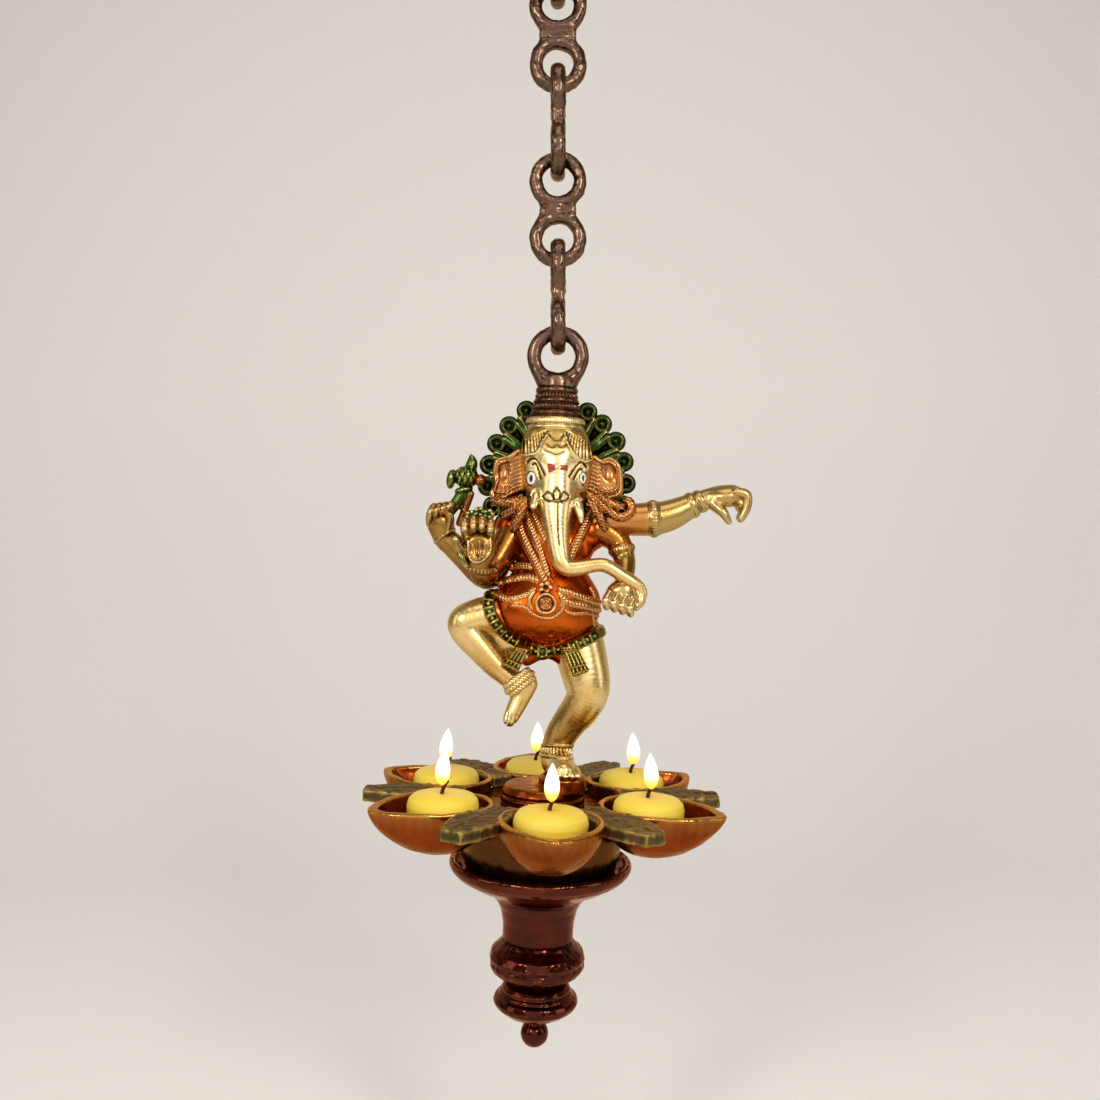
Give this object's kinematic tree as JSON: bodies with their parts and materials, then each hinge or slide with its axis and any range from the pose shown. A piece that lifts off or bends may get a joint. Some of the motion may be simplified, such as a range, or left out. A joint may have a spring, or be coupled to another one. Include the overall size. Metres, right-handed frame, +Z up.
{
  "type": "hanging chain oil lamp",
  "caption": "Hanging brass lamp: a dancing elephant-headed figure on a tray of teardrop bowls with candles, a turned stem below and a chain of figure-eight links above.",
  "frame": {"origin": "centre of the top link's upper hole, by which the lamp hangs", "axes": "+Z up along the chain, -Y towards the viewer that the figure faces, +X to that viewer's right"},
  "size_m": [0.2113, 0.2084, 0.6345],
  "materials": {
    "antique_bronze": "dark cast bronze, worn bright on the edges",
    "pale_gold": "polished pale gold brass",
    "copper_lacquer": "copper-orange lacquer over brass",
    "green_lacquer": "dark green lacquer over brass, rubbed gold on the edges",
    "burnt_copper": "burnt orange lacquer, worn golden on the rims",
    "leaf_patina": "brown and olive patina",
    "mahogany_lacquer": "glossy mahogany-red lacquer with gold wear",
    "plain_steel": "plain steel, hidden",
    "wax": "pale yellow candle wax",
    "wick": "charred cotton wick"
  },
  "bodies": {
    "top_link": {"chain_link_1": "antique_bronze"},
    "link_2": {"chain_link_2": "antique_bronze"},
    "link_3": {"chain_link_3": "antique_bronze"},
    "link_4": {"chain_link_4": "antique_bronze"},
    "link_5": {"chain_link_5": "antique_bronze"},
    "lamp": {"crown_eye": "antique_bronze", "head_band": "pale_gold", "head": "pale_gold", "left_ear": "copper_lacquer", "right_ear": "copper_lacquer", "halo": "green_lacquer", "torso": "copper_lacquer", "rope_belt": "copper_lacquer", "hip_belt": "green_lacquer", "raised_arm": "pale_gold", "palm_arm": "copper_lacquer", "extended_arm": "pale_gold", "lower_arm": "copper_lacquer", "mace": "green_lacquer", "raised_leg": "pale_gold", "standing_leg": "pale_gold", "foot_pedestal": "copper_lacquer", "tray_hub": "burnt_copper", "bowl_1": "burnt_copper", "bowl_2": "burnt_copper", "bowl_3": "burnt_copper", "bowl_4": "burnt_copper", "bowl_5": "burnt_copper", "bowl_6": "burnt_copper", "leaf_1": "leaf_patina", "leaf_2": "leaf_patina", "leaf_3": "leaf_patina", "leaf_4": "leaf_patina", "leaf_5": "leaf_patina", "leaf_6": "leaf_patina", "saucer": "mahogany_lacquer", "stem_column": "mahogany_lacquer", "knop": "mahogany_lacquer", "lower_disc": "mahogany_lacquer", "ball_finial": "mahogany_lacquer", "tie_rod": "plain_steel", "lock_nut": "plain_steel"},
    "candle_1_loose": {"candle_1": "wax", "wick_1": "wick"},
    "candle_2_loose": {"candle_2": "wax", "wick_2": "wick"},
    "candle_3_loose": {"candle_3": "wax", "wick_3": "wick"},
    "candle_4_loose": {"candle_4": "wax", "wick_4": "wick"},
    "candle_5_loose": {"candle_5": "wax", "wick_5": "wick"},
    "candle_6_loose": {"candle_6": "wax", "wick_6": "wick"}
  },
  "joints": [
    {"name": "link_2_swing", "type": "hinge", "parent": "top_link", "child": "link_2", "pos_m": [0, 0, -0.048], "axis": [0, 1, 0], "range_deg": [-40, 40]},
    {"name": "link_3_swing", "type": "hinge", "parent": "link_2", "child": "link_3", "pos_m": [0, 0, -0.096], "axis": [1, 0, 0], "range_deg": [-40, 40]},
    {"name": "link_4_swing", "type": "hinge", "parent": "link_3", "child": "link_4", "pos_m": [0, 0, -0.144], "axis": [0, 1, 0], "range_deg": [-40, 40]},
    {"name": "link_5_swing", "type": "hinge", "parent": "link_4", "child": "link_5", "pos_m": [0, 0, -0.192], "axis": [1, 0, 0], "range_deg": [-40, 40]},
    {"name": "lamp_swing", "type": "hinge", "parent": "link_5", "child": "lamp", "pos_m": [0, 0, -0.24075], "axis": [0, 1, 0], "range_deg": [-40, 40]},
    {"name": "candle_1_lift", "type": "slide", "parent": "lamp", "child": "candle_1_loose", "axis": [0.0349, 0, 0.9994], "range_m": [0, 0.04]},
    {"name": "candle_2_lift", "type": "slide", "parent": "lamp", "child": "candle_2_loose", "axis": [0.0349, 0, 0.9994], "range_m": [0, 0.04]},
    {"name": "candle_3_lift", "type": "slide", "parent": "lamp", "child": "candle_3_loose", "axis": [0.0349, 0, 0.9994], "range_m": [0, 0.04]},
    {"name": "candle_4_lift", "type": "slide", "parent": "lamp", "child": "candle_4_loose", "axis": [0.0349, 0, 0.9994], "range_m": [0, 0.04]},
    {"name": "candle_5_lift", "type": "slide", "parent": "lamp", "child": "candle_5_loose", "axis": [0.0349, 0, 0.9994], "range_m": [0, 0.04]},
    {"name": "candle_6_lift", "type": "slide", "parent": "lamp", "child": "candle_6_loose", "axis": [0.0349, 0, 0.9994], "range_m": [0, 0.04]}
  ]
}
